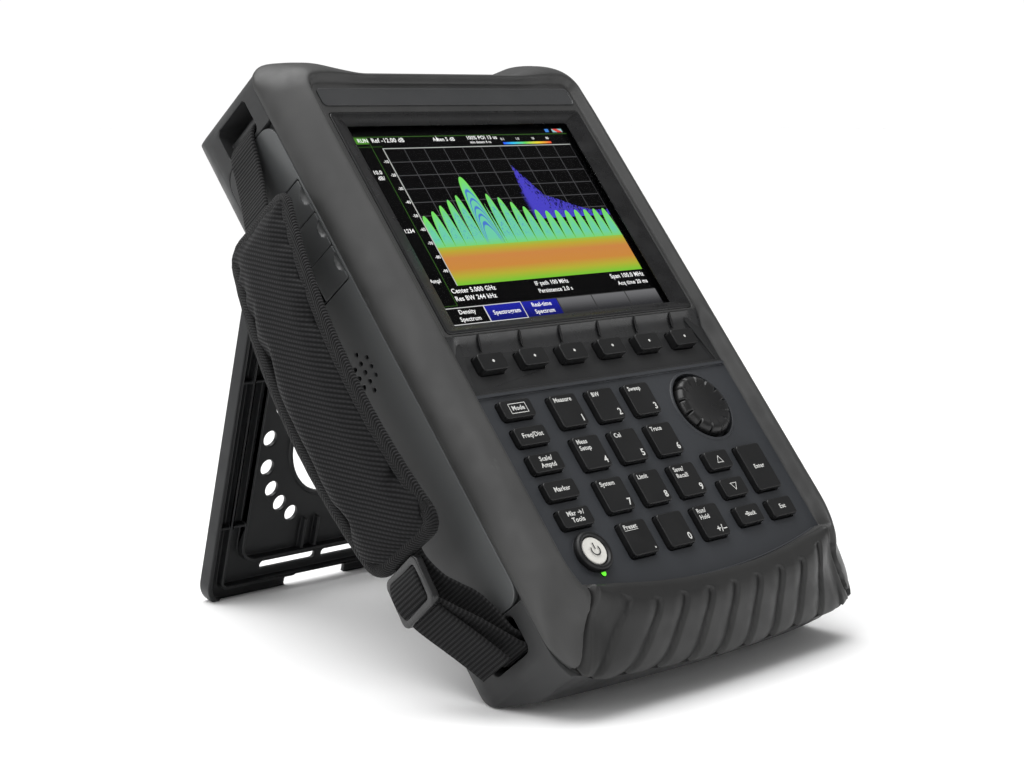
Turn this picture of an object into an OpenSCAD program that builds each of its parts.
// Handheld spectrum analyser leaning back on its kickstand, with a hand strap on its left side.
// The body is drawn upright: X to the right, Y back from the display plane, Z up along the face.
// placed() then leans it back so that its heel and the kickstand's feet stand on Z = 0.

/* [Body] */
// Width across the rubber frame
body_w = 188; // [180:1:240]
// Height from the chin to the tips of the ears
body_h = 297; // [290:1:370]
// Depth from the display plane back to the rear face
back_d = 64; // [62:1:90]
// Height of the rubber rim in front of the display plane
rim_h = 8; // [7:0.5:12]
// Width of the rim beside the keys
rail_w = 16; // [14:1:20]
// How far the ears stand above the middle of the top edge
ear_h = 8; // [4:1:12]
// Wall of the rear case
wall = 3; // [2:0.5:4]
// Radius along the lower rear edge, which is the heel that the body stands on
heel_r = 28; // [20:1:32]
// Radius along the upper rear edge
shoulder_r = 20; // [14:1:24]

/* [Stance] */
// Lean of the body back from upright
lean = 39; // [34:1:46]
// Length of the kickstand from its pivot to the floor
stand_len = 194; // [190:1:260]
// Width of the kickstand
stand_w = 138; // [110:1:150]
// Depth of the kickstand's rim
stand_d = 12; // [10:1:14]

/* [Display] */
// Width of the lit area
lcd_w = 132.5; // [100:0.5:140]
// Height of the lit area
lcd_h = 99.4; // [80:0.2:104]
// Thickness of the cover lens
lens_t = 1.5; // [1:0.1:1.7]

/* [Keys] */
// Width of a number key
digit_w = 15; // [12:0.5:19]
// Height of a number key
digit_h = 15; // [12:0.5:17]
// Distance between number key columns
digit_pitch_x = 22.6; // [18:0.2:24]
// Distance between number key rows
digit_pitch_z = 19.9; // [17:0.1:20.4]
// Distance between softkeys
soft_pitch = 23.8; // [18:0.2:24]
// Distance between function keys
func_pitch = 12.5; // [11:0.1:12.8]
// Height of the keys above the fascia
key_rise = 2.8; // [1.5:0.1:4]
// How far a key goes in
key_travel = 1; // [0.5:0.1:1]
// Gap around each key
key_gap = 0.35; // [0.2:0.05:0.6]

/* [Knob] */
// Radius of the control knob
knob_r = 14.5; // [11:0.5:15]
// Radius of the encoder's shaft
shaft_r = 3; // [2:0.5:4]

/* [Connectors] */
// Outside radius of the test port's thread
port_r = 7.94; // [6:0.01:8.5]
// Length of the test port's thread
port_l = 17; // [12:1:18]
// Distance between the two test ports
port_pitch = 76; // [60:1:84]

/* [Hand strap] */
// How far the pad's outer face stands off the body's side
pad_out = 31.2; // [28:0.2:40]
// Width of the pad
pad_w = 47; // [36:1:50]
// Thickness of the pad
pad_t = 7; // [5:0.5:8]
// Width of the webbing
web_w = 20; // [16:1:22]
// Thickness of the webbing
web_t = 1.8; // [1.2:0.1:2]

/* [Hidden] */
$fn = 64;
fit = 0.3;         // gap between neighbouring housings
run = 0.05;        // radial clearance of a pivot or shaft
half = body_w / 2;
z_low = -16;
top_z = body_h + z_low;
front_r = 12;      // edge radius along the top and bottom of the rim
side_r = 10;       // edge radius along the rim's sides
rear_side_r = 18;  // edge radius down the rear case's sides
seam_y = 10;       // where the frame meets the rear case
face_y = -4;       // flat of the frame around the display
inner_half = half - rail_w;
heel_z = 24;
belly_a = 24;      // slope of the underside
chin_rise = 5;     // how far the chin's ends lie above its middle
chin_flat = half - 20;
chin_r = (chin_flat * chin_flat + chin_rise * chin_rise) / (2 * chin_rise);
ear_x = 50;        // inner end of each ear

// display
lcd_z = top_z - 91;
frame_half = inner_half - 2;
frame_low = lcd_z - lcd_h / 2 - 5.8;
frame_top = lcd_z + lcd_h / 2 + 5.8;
frame_back = -1.1;
lens_y = frame_back + 0.1;
lcd_y = lens_y + lens_t + 0.3;
lcd_t = 5.2;

// keypad
fascia_y = -1.5;
fascia_back = 1;
fascia_top = frame_low - fit;
fascia_arc_r = 340;
fascia_arc_z = 12.4;
lip_z = fascia_top - 28.2;
soft_z = fascia_top - 14;
soft_floor = -0.3;
flange_t = 0.8;
flange_out = 0.9;
flange_y = fascia_back + fit;
mat_y = flange_y + flange_t + key_travel + fit;
mat_t = 2.6;
mat_edge = 1.5;    // from the mat's lower edge to the curved joint
func_x = -inner_half + 18;
digit_x = -10.5;
digit_top_z = 93.5;
nav_x = inner_half - 41.3;
nav_far_x = inner_half - 19.2;
power_x = -inner_half + 17.7;
power_z = 32.5;
power_r = 5.9;
led_x = power_x + 1;
led_z = 23.6;
led_r = 1.25;
knob_x = inner_half - 29.2;
knob_z = 86.7;
knob_y = -4.5;
well_r = knob_r + 1.6;
well_back = 4.5;
well_floor_t = 1;

// inside
chassis_y = lcd_y + lcd_t + 0.4;
chassis_t = 1.4;
board_y = seam_y + 0.6;
board_t = 1.6;
recess_back = chassis_y - fit;
case_half = half - wall - wall;
cavity_top = top_z - 35;

// kickstand
pivot_r = 3;
knuckle_r = stand_d / 2;
pivot_y = back_d - knuckle_r;
pivot_z = top_z - 34;
stand_half = stand_w / 2;
stand_skin = 2.5;
recess_half = stand_half + 1;
recess_y = pivot_y - knuckle_r - 1;
floor_z = heel_z * cos(lean) - (back_d - heel_r) * sin(lean) - heel_r;
pivot_h = pivot_z * cos(lean) - pivot_y * sin(lean) - floor_z;
stand_tilt = acos(pivot_h / stand_len);
stand_open = lean + stand_tilt;
foot_extra = 3;
ring_angles = [31, 45, 59, 76, 96, 118, 149];

// connector bay
bay_half = 62;
bay_z = top_z - 29;
bay_wall = 2.5;
bay_back = recess_y - bay_wall;
plate_t = 3;
port_y = 32;
ref_pitch = 25;
ref_r = 3.175;

// side panels and doors
panel_t = 2.8;
panel_low = 26;
panel_top = top_z - 28;
panel_front = seam_y + 0.4;
panel_back = back_d - 15;
door_t = 2.4;
door_gap = 0.35;
door_front = panel_front + 1.6;
door_back = panel_front + 19.2;
door_h = 16.3;
door_low = top_z - 106;
right_door_h = 3 * door_h;
hinge_r = 1.2;
battery_door_back = panel_back - 3.6;
battery_low = 26;
battery_h = 80;
speaker_y = 28;
speaker_z = door_low - 35;
speaker_r = 13;

// hand strap
strap_y = 30;
pad_arc_r = 300;
pad_mid_z = top_z - 158.5;
pad_top = pad_mid_z + 95.5;
pad_low = pad_mid_z - 62.5;
strap_out = half + pad_out;
pad_c = strap_out - pad_t / 2 - pad_arc_r;
bar_r = 2;
bar_x = half - 7;
bar_top_z = top_z - 18;
bar_low_z = 16;
pocket_in = 14;

// the object's box, which puts the origin under its middle
front_y = (z_low + front_r) * sin(lean) + (front_r - rim_h) * cos(lean) - front_r;
pivot_fl = pivot_y * cos(lean) + pivot_z * sin(lean);
foot_y = pivot_fl + knuckle_r * cos(stand_tilt)
    + (pivot_h + knuckle_r * sin(stand_tilt)) * tan(stand_tilt);
origin_x = (half - strap_out) / 2;
origin_y = (front_y + foot_y) / 2;

FUNC_NAMES = ["key_mode", "key_frequency", "key_scale", "key_marker", "key_tools"];
DIGIT_NAMES = [
    ["key_1", "key_2", "key_3"],
    ["key_4", "key_5", "key_6"],
    ["key_7", "key_8", "key_9"],
    ["key_point", "key_0", "key_sign"]
];

// each key: name, centre x, centre z, width, height
KEYS = concat(
    [for (i = [0:5]) [str("softkey_", i + 1), (i - 2.5) * soft_pitch, soft_z, 14.6, 8]],
    [for (i = [0:4]) [FUNC_NAMES[i], func_x, 97.8 - i * func_pitch, 17.2, 8.2]],
    [for (r = [0:3]) for (c = [0:2])
        [DIGIT_NAMES[r][c], digit_x + (c - 1) * digit_pitch_x, digit_top_z - r * digit_pitch_z,
            digit_w, digit_h]],
    [
        ["key_up", nav_x, 59.6, 14.8, 8.6],
        ["key_down", nav_x, 46.2, 14.8, 8.6],
        ["key_enter", nav_far_x, 52.9, 15.4, 22],
        ["key_back", nav_x, 32.8, 14.8, 8.6],
        ["key_escape", nav_far_x, 32.8, 15.4, 8.6]
    ]
);
DOOR_NAMES = ["port_door_audio", "port_door_dc", "port_door_power"];

// ---------- frames ----------

module placed() {
    translate([-origin_x, -origin_y, -floor_z])
        rotate([-lean, 0, 0])
            children();
}

module on_pivot() {
    translate([0, pivot_y, pivot_z])
        rotate([stand_open, 0, 0])
            children();
}

// an outline in X and Z, solid from y0 back to y1
module slab(y0, y1) {
    translate([0, y1, 0])
        rotate([90, 0, 0])
            linear_extrude(y1 - y0)
                children();
}

// an outline in Y and Z, solid from x0 to x1
module cheek(x0, x1) {
    translate([x0, 0, 0])
        rotate([90, 0, 90])
            linear_extrude(x1 - x0)
                children();
}

module box(lo, hi) {
    translate(lo)
        cube(hi - lo);
}

// a round bar along Y
module peg(x, z, r, y0, y1) {
    translate([x, y1, z])
        rotate([90, 0, 0])
            cylinder(r = r, h = y1 - y0);
}

module rounded(lo, hi, r) {
    translate([lo.x + r, lo.y])
        square([hi.x - lo.x - 2 * r, hi.y - lo.y]);
    translate([lo.x, lo.y + r])
        square([hi.x - lo.x, hi.y - lo.y - 2 * r]);
    for (x = [lo.x + r, hi.x - r])
        for (y = [lo.y + r, hi.y - r])
            translate([x, y])
                circle(r);
}

module centred(x, z, w, h, r) {
    rounded([x - w / 2, z - h / 2], [x + w / 2, z + h / 2], r);
}

// ---------- outer form ----------

module side_profile(top) {
    tangent = [back_d - heel_r + heel_r * sin(belly_a), heel_z - heel_r * cos(belly_a)];
    chin_y = tangent.x - (tangent.y - z_low) / tan(belly_a);
    front_c = front_r - rim_h;
    translate([front_c, z_low + front_r])
        circle(front_r);
    translate([front_c, top - front_r])
        circle(front_r);
    translate([back_d - heel_r, heel_z])
        circle(heel_r);
    translate([back_d - shoulder_r, top - shoulder_r])
        circle(shoulder_r);
    polygon([
        [-rim_h, z_low + front_r], [front_c, z_low], [max(chin_y, front_c + 1), z_low], tangent,
        [back_d, heel_z], [back_d, top - shoulder_r], [back_d - shoulder_r, top], [front_c, top],
        [-rim_h, top - front_r]
    ]);
}

module plan_profile() {
    for (s = [-1, 1]) {
        translate([s * (half - side_r), side_r - rim_h])
            circle(side_r);
        translate([s * (half - rear_side_r), back_d - rear_side_r])
            circle(rear_side_r);
    }
    polygon([
        [-half, side_r - rim_h], [side_r - half, -rim_h], [half - side_r, -rim_h],
        [half, side_r - rim_h], [half, back_d - rear_side_r], [half - rear_side_r, back_d],
        [rear_side_r - half, back_d], [-half, back_d - rear_side_r]
    ]);
}

module face_outline() {
    intersection() {
        rounded([-half, z_low], [half, top_z - ear_h], 20);
        translate([0, z_low + chin_r])
            circle(chin_r, $fn = 180);
    }
}

module ear_outlines() {
    for (s = [0, 1])
        mirror([s, 0]) {
            rounded([ear_x, top_z - 80], [half, top_z], 14);
            polygon([
                [ear_x - 14, top_z - ear_h], [ear_x + 14, top_z], [ear_x + 14, top_z - 40],
                [ear_x - 14, top_z - 40]
            ]);
        }
}

module rounded_mass(top) {
    intersection() {
        slab(-rim_h - 1, back_d + 1)
            children();
        cheek(-half - 1, half + 1)
            side_profile(top);
        translate([0, 0, z_low - 5])
            linear_extrude(top_z - z_low + 10)
                plan_profile();
    }
}

module body_mass() {
    rounded_mass(top_z - ear_h)
        face_outline();
    rounded_mass(top_z)
        ear_outlines();
}

// the region above the curved joint between the keypad and the grip
module above_arc(shift) {
    translate([0, fascia_arc_z + fascia_arc_r + shift])
        circle(fascia_arc_r, $fn = 180);
}

// ---------- front ----------

module face_cut() {
    intersection() {
        translate([0, 0, 8])
            linear_extrude(top_z - ear_h - 3 - 8)
                polygon([
                    [-inner_half, face_y], [-inner_half - 5, -rim_h - 1],
                    [inner_half + 5, -rim_h - 1], [inner_half, face_y]
                ]);
        cheek(-half, half)
            polygon([
                [face_y, 10], [face_y, top_z - ear_h - 10], [-rim_h - 1, top_z - ear_h - 4],
                [-rim_h - 1, 0], [face_y, 0]
            ]);
    }
}

module front_bezel() {
    color("#4a4b4d")
        placed()
            difference() {
                intersection() {
                    body_mass();
                    box([-half - 1, -rim_h - 1, z_low - 2], [half + 1, seam_y, top_z + 1]);
                }
                face_cut();
                box([-inner_half, -rim_h - 1, 8], [inner_half, face_y, fascia_top]);
                slab(-rim_h - 1, seam_y + 1)
                    rounded([-frame_half - fit, frame_low - fit],
                        [frame_half + fit, frame_top + fit], 2);
                slab(-rim_h - 1, seam_y + 1)
                    intersection() {
                        translate([-inner_half - fit, 0])
                            square([2 * (inner_half + fit), frame_low + 3]);
                        above_arc(-fit);
                    }
                slab(-rim_h - 1, recess_back)
                    difference() {
                        translate([-grip_half() - fit, z_low - 4])
                            square([2 * (grip_half() + fit), 40]);
                        above_arc(0);
                    }
                box([-half + 7, recess_back, -3], [half - 7, seam_y + 1, cavity_top]);
                slab(face_y - 1, face_y + 0.6)
                    rounded([-inner_half + 1.5, frame_top + 3.2], [inner_half - 1.5, frame_top + 13.6],
                        1.5);
            }
}

function grip_half() = inner_half - 2;

module bottom_grip() {
    groove_pitch = 14.6;
    color("#3b3c3e")
        placed()
            difference() {
                intersection() {
                    body_mass();
                    slab(-rim_h - 1, recess_back - fit)
                        difference() {
                            translate([-grip_half(), z_low - 4])
                                square([2 * grip_half(), 40]);
                            above_arc(-fit);
                        }
                }
                for (i = [-5:4])
                    translate([(i + 0.5) * groove_pitch, -rim_h - 1.2, z_low - 1])
                        cylinder(r = 2.6, h = 30 - abs(i + 0.5));
                box([-inner_half, -rim_h - 1, 8], [inner_half, face_y - 1, 40]);
            }
}

module display_frame() {
    lip = 0.6;
    color("#15161a")
        placed()
            difference() {
                slab(face_y - 0.2, frame_back)
                    rounded([-frame_half, frame_low], [frame_half, frame_top], 2);
                slab(-rim_h, frame_back + 1)
                    translate([-lcd_w / 2 - lip, lcd_z - lcd_h / 2 - lip])
                        square([lcd_w + 2 * lip, lcd_h + 2 * lip]);
                intersection() {
                    translate([0, 0, frame_low])
                        linear_extrude(frame_top - frame_low)
                            polygon([
                                [-lcd_w / 2 - lip, frame_back - 0.5], [-frame_half + 1.2, face_y - 1],
                                [frame_half - 1.2, face_y - 1], [lcd_w / 2 + lip, frame_back - 0.5]
                            ]);
                    cheek(-half, half)
                        polygon([
                            [frame_back - 0.5, lcd_z - lcd_h / 2 - lip], [face_y - 1, frame_low + 1.2],
                            [face_y - 1, frame_top - 1.2], [frame_back - 0.5, lcd_z + lcd_h / 2 + lip]
                        ]);
                }
            }
}

module display_lens() {
    color("#20242c", 0.4)
        placed()
            slab(lens_y, lens_y + lens_t)
                centred(0, lcd_z, lcd_w + 4, lcd_h + 4, 1);
}

module lcd_panel() {
    color("#101418")
        placed()
            slab(lcd_y, lcd_y + lcd_t)
                centred(0, lcd_z, lcd_w + 7, lcd_h + 7, 1);
}

module keypad_fascia() {
    color("#3a3f45")
        placed()
            difference() {
                union() {
                    slab(fascia_y, fascia_back)
                        intersection() {
                            translate([-inner_half, 0])
                                square([2 * inner_half, fascia_top]);
                            above_arc(0);
                        }
                    slab(fascia_y - 1.1, fascia_y)
                        centred(0, lip_z, 2 * inner_half - 1, 1.8, 0.8);
                    peg(knob_x, knob_z, well_r + 1.2, fascia_y - 0.5, well_back);
                    peg(power_x, power_z, power_r + 2.4, fascia_y - 2.2, fascia_y);
                }
                slab(fascia_y - 1, soft_floor)
                    polygon([
                        [-inner_half + 3, lip_z + 2.2], [-inner_half + 9, fascia_top - 2.5],
                        [inner_half - 9, fascia_top - 2.5], [inner_half - 3, lip_z + 2.2]
                    ]);
                for (k = KEYS)
                    slab(fascia_y - 5, fascia_back + 1)
                        centred(k[1], k[2], k[3] + 2 * key_gap, k[4] + 2 * key_gap, 1.5 + key_gap);
                peg(power_x, power_z, power_r + key_gap, -10, fascia_back + 1);
                peg(led_x, led_z, led_r + run, -10, fascia_back + 1);
                peg(knob_x, knob_z, well_r, -10, well_back - well_floor_t);
                peg(knob_x, knob_z, shaft_r + 1.5, -10, well_back + 1);
            }
}

module key(x, z, w, h) {
    color("#1c1d1f")
        placed() {
            slab(fascia_y - key_rise, flange_y)
                centred(x, z, w, h, 1.5);
            slab(flange_y, flange_y + flange_t)
                centred(x, z, w + 2 * flange_out, h + 2 * flange_out, 1.5);
        }
}

module power_button() {
    color("#e9e9e2")
        placed() {
            peg(power_x, power_z, power_r, fascia_y - key_rise, flange_y);
            peg(power_x, power_z, power_r + flange_out, flange_y, flange_y + flange_t);
        }
}

module status_led() {
    color("#54e02a")
        placed()
            peg(led_x, led_z, led_r, fascia_y - 0.6, mat_y - 0.1);
}

module key_mat() {
    color("#6f7276")
        placed()
            difference() {
                slab(mat_y, mat_y + mat_t)
                    intersection() {
                        rounded([-inner_half + 1.5, fascia_arc_z - 10],
                            [inner_half - 1.5, fascia_top - 5], 4);
                        above_arc(mat_edge);
                    }
                peg(knob_x, knob_z, well_r + 2, mat_y - 1, mat_y + mat_t + 1);
            }
}

module control_knob() {
    notches = 13;
    notch_depth = 1.1;
    bore_depth = 5;
    color("#1b1c1e")
        placed()
            difference() {
                peg(knob_x, knob_z, knob_r, knob_y, well_back - well_floor_t - fit);
                translate([knob_x, knob_y - 38.6, knob_z])
                    sphere(r = 40, $fn = 120);
                for (i = [0:notches - 1])
                    peg(knob_x + (knob_r + 0.4) * cos(i * 360 / notches),
                        knob_z + (knob_r + 0.4) * sin(i * 360 / notches), notch_depth, knob_y - 1,
                        knob_y + 3);
                peg(knob_x, knob_z, shaft_r + run, well_back - well_floor_t - bore_depth, well_back);
            }
}

module rotary_encoder() {
    color("#9a9c9f")
        placed() {
            peg(knob_x, knob_z, shaft_r, well_back - well_floor_t - 4.6, well_back + 0.3);
            peg(knob_x, knob_z, 6.5, well_back + 0.3, board_y - 0.1);
        }
}

// ---------- inside ----------

module inner_chassis() {
    color("#a8abae")
        placed()
            difference() {
                slab(chassis_y, chassis_y + chassis_t)
                    rounded([-half + 8, 4], [half - 8, cavity_top - 3], 6);
                peg(knob_x, knob_z, 7, chassis_y - 1, chassis_y + 3);
                for (x = [-half + 15, half - 15])
                    for (z = [14, cavity_top - 12])
                        peg(x, z, 1.6, chassis_y - 1, chassis_y + 3);
            }
}

module main_board() {
    jack_r = [1.8, 2.8, 1.4];
    color("#1f6b3c")
        placed()
            difference() {
                union() {
                    box([-case_half + 3, board_y, 12], [case_half - 3, board_y + board_t, cavity_top - 5]);
                    for (p = [[-50, 40], [-20, 60], [-45, 110], [30, 120], [0, 210], [40, 190]])
                        box([p.x - 9, board_y, p.y - 9], [p.x + 9, board_y + 3.4, p.y + 9]);
                    for (i = [0:2])
                        box([-case_half - 2, board_y, door_z(i) - 5.5],
                            [-case_half + 8, board_y + 11, door_z(i) + 5.5]);
                    for (i = [0:2])
                        box([case_half - 8, board_y, door_z(i) - 5.5],
                            [case_half + 2, board_y + 11, door_z(i) + 5.5]);
                }
                for (i = [0:2])
                    translate([-case_half - 3, board_y + 5.5, door_z(i)])
                        rotate([0, 90, 0])
                            cylinder(r = jack_r[i], h = 8);
                for (i = [0:2])
                    box([case_half - 6, board_y + 3, door_z(i) - 3.6],
                        [case_half + 3, board_y + 8.5, door_z(i) + 3.6]);
            }
}

module rf_module() {
    color("#c4c6c8")
        placed() {
            box([-70, board_y + 6, cavity_top - 112], [70, recess_y - wall - 4, cavity_top - 8]);
            for (x = [-port_pitch / 2, port_pitch / 2])
                translate([x, port_y, cavity_top - 8])
                    cylinder(r = 2, h = 5);
        }
}

module battery_pack() {
    color("#2c2d30")
        placed()
            slab(board_y + 6.5, recess_y - wall - 6)
                rounded([-12, battery_low + 3], [half - 8, battery_low + battery_h - 3], 3);
}

module speaker() {
    color("#202124")
        placed()
            translate([-case_half + 0.3, speaker_y, speaker_z])
                rotate([0, 90, 0])
                    difference() {
                        cylinder(r = speaker_r, h = 8);
                        translate([0, 0, -1])
                            cylinder(r = speaker_r - 1.5, h = 2.5);
                    }
}

// ---------- rear ----------

function door_z(i) = door_low + door_h / 2 + i * door_h;

module stand_recess() {
    slab(recess_y, back_d + 1)
        rounded([-recess_half, pivot_z - stand_len - foot_extra - 2],
            [recess_half, pivot_z + knuckle_r + 1], 10);
    box([-recess_half, recess_y, pivot_z - knuckle_r - 8],
        [recess_half, back_d + 1, pivot_z + knuckle_r + 1]);
    slab(recess_y + 3, back_d + 1)
        centred(0, pivot_z - stand_len - 6, 40, 24, 8);
}

module rear_case() {
    color("#5b5d60")
        placed()
            difference() {
                union() {
                    difference() {
                        intersection() {
                            body_mass();
                            box([-half - 1, seam_y + 0.05, z_low - 5], [half + 1, back_d + 1, top_z + 1]);
                        }
                        cheek(-case_half, case_half)
                            rounded([seam_y - 12, 0], [recess_y - wall, cavity_top], 10);
                        stand_recess();
                        box([-bay_half, seam_y - 1, bay_z - plate_t - 0.2],
                            [bay_half, bay_back, top_z + 1]);
                        box([-bay_half, bay_back - 1, top_z - 16], [bay_half, back_d + 1, top_z + 1]);
                        for (s = [0, 1])
                            mirror([s, 0, 0])
                                cheek(-half - 1, -half + wall)
                                    rounded([seam_y - 10, panel_low - fit],
                                        [panel_back + fit, panel_top + fit], 8);
                        strap_pocket(bar_top_z);
                        strap_pocket(bar_low_z);
                    }
                    for (z = [bar_top_z, bar_low_z])
                        peg(-bar_x, z, bar_r, strap_y - web_w / 2 - 4, strap_y + web_w / 2 + 4);
                }
                for (x = [-port_pitch / 2, port_pitch / 2])
                    translate([x, port_y, cavity_top - 1])
                        cylinder(r = 5.5, h = 20);
                for (x = [-ref_pitch / 2, ref_pitch / 2])
                    translate([x, port_y, cavity_top - 1])
                        cylinder(r = 2.6, h = 20);
                translate([-half, speaker_y, speaker_z])
                    rotate([0, 90, 0])
                        cylinder(r = speaker_r - 2, h = 12);
                box([-half, board_y - 0.3, door_low + 1.6], [-case_half + 1, board_y + 11.6,
                    door_low + right_door_h - 1.6]);
                box([case_half - 1, board_y - 0.3, door_low + 1.6], [half, board_y + 11.6,
                    door_low + right_door_h - 1.6]);
                box([case_half - 1, board_y + 5.5, battery_low + 2],
                    [half, recess_y - wall - 5, battery_low + battery_h - 2]);
                translate([-recess_half - 6, pivot_y, pivot_z])
                    rotate([0, 90, 0])
                        cylinder(r = pivot_r + run, h = 2 * recess_half + 12);
                for (p = screw_points())
                    peg(p.x, p.y, 3.3, back_d - 3, back_d + 1);
                for (s = [0, 1])
                    mirror([s, 0, 0])
                        translate([-half + 1.7, door_back - 0.4, door_low - 0.2])
                            cylinder(r = hinge_r + 0.35, h = right_door_h + 0.4);
            }
}

function screw_points() = [
    for (s = [-1, 1])
        for (z = [panel_low + 4, (panel_low + panel_top) / 2, panel_top - 3])
            [s * (recess_half + 8), z]
];

module case_screws() {
    color("#8b8d90")
        placed()
            for (p = screw_points())
                difference() {
                    peg(p.x, p.y, 3, back_d - 2.9, back_d - 0.9);
                    translate([p.x, back_d, p.y])
                        rotate([90, 0, 0])
                            cylinder(r = 1.4, h = 1.9, $fn = 6);
                }
}

module strap_pocket(z) {
    cheek(-half - 1, -half + pocket_in)
        rounded([strap_y - web_w / 2 - 1.5, z - 8], [strap_y + web_w / 2 + 1.5, z + 8], 3);
}

// the panel on the left, drawn with its outer face at X = -half
module side_panel(is_left) {
    difference() {
        cheek(-half, -half + panel_t)
            rounded([panel_front, panel_low], [panel_back, panel_top], 8);
        box([-half - 1, door_front - door_gap, door_low - door_gap],
            [-half + 4, door_back + 1.6, door_low + right_door_h + door_gap]);
        if (is_left)
            speaker_holes();
        else
            box([-half - 1, door_front - door_gap, battery_low + 4 - door_gap],
                [-half + 4, battery_door_back + 1.6, battery_low + battery_h + door_gap]);
    }
}

module speaker_holes() {
    for (row = [-2:2])
        for (col = [-1:1])
            if (abs(row) + abs(col) < 3)
                translate([-half - 1, speaker_y + col * 4.5, speaker_z + row * 4.2])
                    rotate([0, 90, 0])
                        cylinder(r = 0.9, h = 5, $fn = 24);
}

module side_panel_left() {
    color("#77797c")
        placed()
            side_panel(true);
}

module side_panel_right() {
    color("#77797c")
        placed()
            mirror([1, 0, 0])
                side_panel(false);
}

// a door on the left: plate and hinge barrel, its pivot at (-half + 1.7, back - 0.4)
module side_door(z0, z1, back) {
    difference() {
        cheek(-half, -half + door_t)
            rounded([door_front, z0 + door_gap / 2], [back, z1 - door_gap / 2], 1);
        translate([-half - 3, door_front - 0.5, (z0 + z1) / 2])
            sphere(r = 5.2);
    }
    translate([-half + 1.7, back - 0.4, z0 + door_gap / 2])
        cylinder(r = hinge_r, h = z1 - z0 - door_gap);
}

module port_door(i) {
    color("#6d6f72")
        placed()
            side_door(door_low + i * door_h, door_low + (i + 1) * door_h, door_back);
}

module port_door_right() {
    color("#6d6f72")
        placed()
            mirror([1, 0, 0])
                side_door(door_low, door_low + right_door_h, door_back);
}

module battery_door() {
    color("#6d6f72")
        placed()
            mirror([1, 0, 0])
                side_door(battery_low + 4, battery_low + battery_h, battery_door_back);
}

module connector_plate() {
    color("#b4b6b8")
        placed()
            difference() {
                box([-bay_half + fit, seam_y + 0.3, bay_z - plate_t], [bay_half - fit, bay_back - fit, bay_z]);
                for (x = [-port_pitch / 2, port_pitch / 2])
                    translate([x, port_y, bay_z - 5])
                        cylinder(r = 5.5, h = 10);
                for (x = [-ref_pitch / 2, ref_pitch / 2])
                    translate([x, port_y, bay_z - 5])
                        cylinder(r = 2.6, h = 10);
            }
}

module rf_ports() {
    flange_h = 3;
    color("#c9b27a")
        placed()
            for (x = [-port_pitch / 2, port_pitch / 2])
                translate([x, port_y, bay_z]) {
                    difference() {
                        union() {
                            translate([0, 0, -6])
                                cylinder(r = 5, h = 7);
                            translate([0, 0, 0.05])
                                cylinder(r = 10, h = flange_h);
                            cylinder(r = port_r, h = flange_h + port_l);
                        }
                        translate([0, 0, flange_h + port_l - 10])
                            cylinder(r = 4.2, h = 11);
                    }
                    cylinder(r = 0.8, h = flange_h + port_l - 4);
                }
}

module reference_connectors() {
    color("#c9b27a")
        placed()
            for (x = [-ref_pitch / 2, ref_pitch / 2])
                translate([x, port_y, bay_z])
                    difference() {
                        union() {
                            translate([0, 0, -5])
                                cylinder(r = 2.3, h = 6);
                            translate([0, 0, 0.05])
                                cylinder(r = 4.6, h = 2, $fn = 6);
                            cylinder(r = ref_r, h = 11);
                        }
                        translate([0, 0, 5])
                            cylinder(r = 2.1, h = 7);
                    }
}

// ---------- kickstand, its pivot along X at the origin, hanging down -Z ----------

module stand_outline(inset) {
    low = -stand_len - foot_extra;
    rounded([-stand_half + inset, low + inset], [stand_half - inset, -inset], 12 - inset);
    translate([-stand_half + inset, -30])
        square([2 * (stand_half - inset), 30]);
}

module stand_body() {
    hole_z = -stand_len + 73;
    hole_r = stand_half * 0.4;
    ring_r = stand_half * 0.61;
    small_r = 3.8;
    rail_x = stand_half - 8;
    inner_x = stand_half - 17;
    plate_y = knuckle_r - stand_skin;
    rim_y = knuckle_r - 7;
    difference() {
        union() {
            slab(plate_y, knuckle_r)
                stand_outline(0);
            slab(rim_y, knuckle_r)
                difference() {
                    stand_outline(0);
                    stand_outline(stand_skin);
                }
            slab(rim_y + 0.5, plate_y + 0.1)
                difference() {
                    stand_outline(stand_half - rail_x);
                    stand_outline(stand_half - rail_x + 1.6);
                }
            slab(rim_y + 0.5, plate_y + 0.1)
                difference() {
                    rounded([-inner_x, -stand_len + 17], [inner_x, -4], 9);
                    rounded([-inner_x + 1.6, -stand_len + 18.6], [inner_x - 1.6, -5.6], 7.4);
                }
            translate([-stand_half, 0, 0])
                rotate([0, 90, 0])
                    cylinder(r = knuckle_r, h = stand_w);
            for (s = [-1, 1], z = [-stand_len * 0.44, -stand_len * 0.81])
                box([min(s * inner_x, s * (stand_half - 1)), rim_y + 1, z - 0.8],
                    [max(s * inner_x, s * (stand_half - 1)), plate_y + 0.1, z + 0.8]);
            for (x = [-14, -6])
                box([x - 0.8, rim_y + 1.5, -stand_len + 17.5], [x + 0.8, plate_y + 0.1, -stand_len + 34]);
            peg(0, hole_z, hole_r + 2, plate_y - 1, plate_y + 0.1);
        }
        box([-stand_half - 1, -knuckle_r - 1, 0], [stand_half + 1, -0.01, knuckle_r + 1]);
        peg(0, hole_z, hole_r, -stand_d, stand_d);
        for (a = ring_angles, s = [-1, 1])
            peg(s * ring_r * sin(a), hole_z - ring_r * cos(a), small_r, plate_y - 1, stand_d);
        for (s = [-1, 1])
            slab(plate_y - 1, stand_d)
                centred(s * 19, -stand_len + 12, 34, 3.6, 1.7);
        slab(-stand_d, stand_d)
            centred(0, -stand_len - 4, 38, 20, 5);
    }
    translate([-stand_half - 5.5, 0, 0])
        rotate([0, 90, 0])
            cylinder(r = pivot_r, h = stand_w + 11);
}

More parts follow.
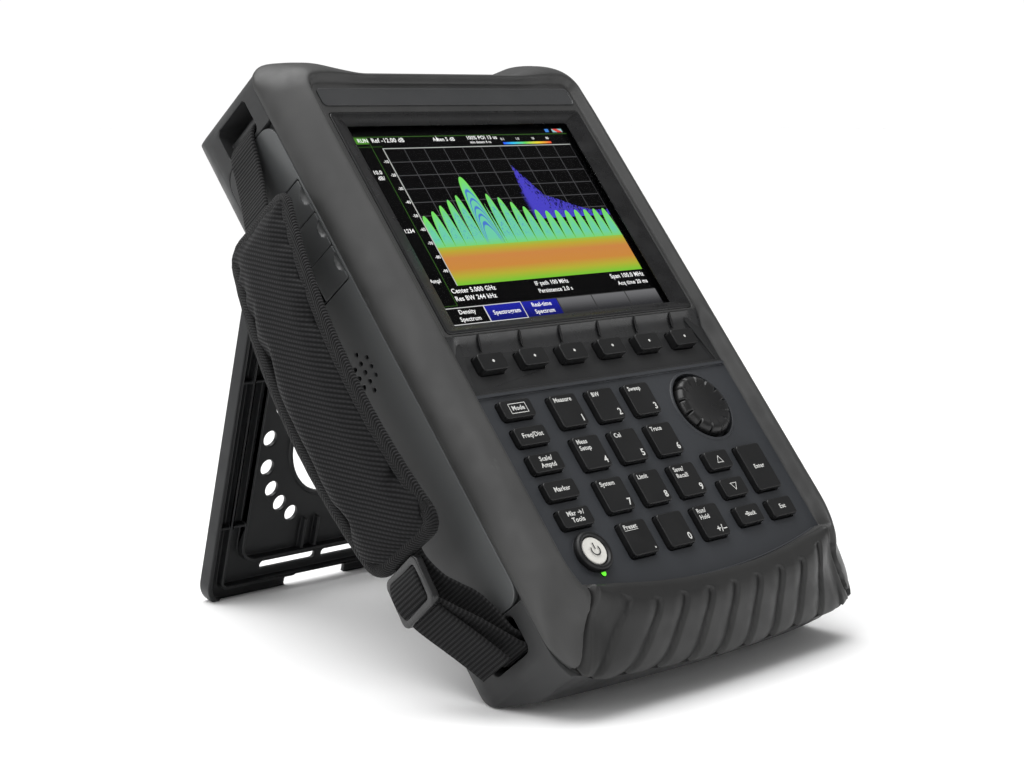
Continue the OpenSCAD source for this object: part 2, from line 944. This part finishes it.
module kickstand() {
    color("#3f4042")
        difference() {
            placed()
                on_pivot()
                    stand_body();
            box([-body_w, -origin_y - body_h, -20], [body_w, body_h * 2, 0]);
        }
}

// ---------- hand strap ----------

// a strip of constant thickness along points in X and Z
function side_of(p, i, d) =
    let (a = p[max(i - 1, 0)], b = p[min(i + 1, len(p) - 1)], t = (b - a) / norm(b - a))
        [p[i].x - t.y * d, p[i].y + t.x * d];

module strip(points, t) {
    last = len(points) - 1;
    slab(strap_y - web_w / 2, strap_y + web_w / 2)
        polygon(concat(
            [for (i = [0:last]) side_of(points, i, t / 2)],
            [for (i = [0:last]) side_of(points, last - i, -t / 2)]
        ));
}

module strap_loop(z) {
    difference() {
        peg(-bar_x, z, bar_r + 0.1 + web_t, strap_y - web_w / 2, strap_y + web_w / 2);
        peg(-bar_x, z, bar_r + 0.1, strap_y - web_w / 2 - 1, strap_y + web_w / 2 + 1);
    }
}

function pad_x(z) = -pad_c - sqrt(pad_arc_r * pad_arc_r - (z - pad_mid_z) * (z - pad_mid_z));

module strap_webbing() {
    edge = bar_r + 0.1 + web_t / 2;
    low_x = pad_x(pad_low);
    color("#18191a")
        placed() {
            strap_loop(bar_top_z);
            strap_loop(bar_low_z);
            strip([
                [-bar_x - edge, bar_top_z], [-half - 1.8, bar_top_z - 8], [-half - 6, bar_top_z - 28],
                [pad_x(pad_top) + 0.6, pad_top + 0.3]
            ], web_t);
            strip([
                [low_x + 2, pad_low - 0.3], [low_x + 2.9, pad_low - 12], [low_x + 7.2, pad_low - 24],
                [-half - 7, bar_low_z + 10], [-half - 1, bar_low_z + 3.5], [-bar_x - edge + 0.5, bar_low_z + 1.5]
            ], web_t);
            strip([
                [low_x - 3.5, pad_low - 2], [low_x - 3.9, pad_low - 22], [low_x + 1, pad_low - 33],
                [-half - 8, pad_low - 44], [-half - 5, pad_low - 52]
            ], web_t);
        }
}

module strap_pad() {
    color("#1d1e1f")
        placed()
            intersection() {
                slab(strap_y - pad_w, strap_y + pad_w)
                    intersection() {
                        difference() {
                            translate([-pad_c, pad_mid_z])
                                circle(pad_arc_r + pad_t / 2, $fn = 360);
                            translate([-pad_c, pad_mid_z])
                                circle(pad_arc_r - pad_t / 2, $fn = 360);
                        }
                        translate([-strap_out - 1, pad_low - 10])
                            square([60, pad_top - pad_low + 20]);
                    }
                cheek(-strap_out - 5, -half + 5)
                    rounded([strap_y - pad_w / 2, pad_low], [strap_y + pad_w / 2, pad_top], 9);
            }
}

module strap_buckle() {
    frame_h = 20;
    frame_t = 3;
    x = pad_x(pad_low) - 0.4;
    mid = pad_low - 1 - frame_h / 2;
    color("#232426")
        placed()
            difference() {
                cheek(x - frame_t / 2 - 0.4, x + frame_t / 2 - 0.4)
                    rounded([strap_y - web_w / 2 - 3.5, mid - frame_h / 2],
                        [strap_y + web_w / 2 + 3.5, mid + frame_h / 2], 3);
                for (s = [-1, 1])
                    cheek(x - frame_t, x + frame_t)
                        centred(strap_y, mid + s * 4.8, web_w + 0.6, 5.4, 1);
            }
}

// ---------- drawing ----------

for (k = KEYS)
    key(k[1], k[2], k[3], k[4]);
for (i = [0:2])
    port_door(2 - i);
power_button();
front_bezel();
display_frame();
display_lens();
lcd_panel();
keypad_fascia();
key_mat();
main_board();
rf_module();
inner_chassis();
rotary_encoder();
battery_pack();
battery_door();
rear_case();
side_panel_left();
side_panel_right();
bottom_grip();
connector_plate();
rf_ports();
reference_connectors();
control_knob();
status_led();
kickstand();
port_door_right();
strap_webbing();
strap_pad();
strap_buckle();
speaker();
case_screws();
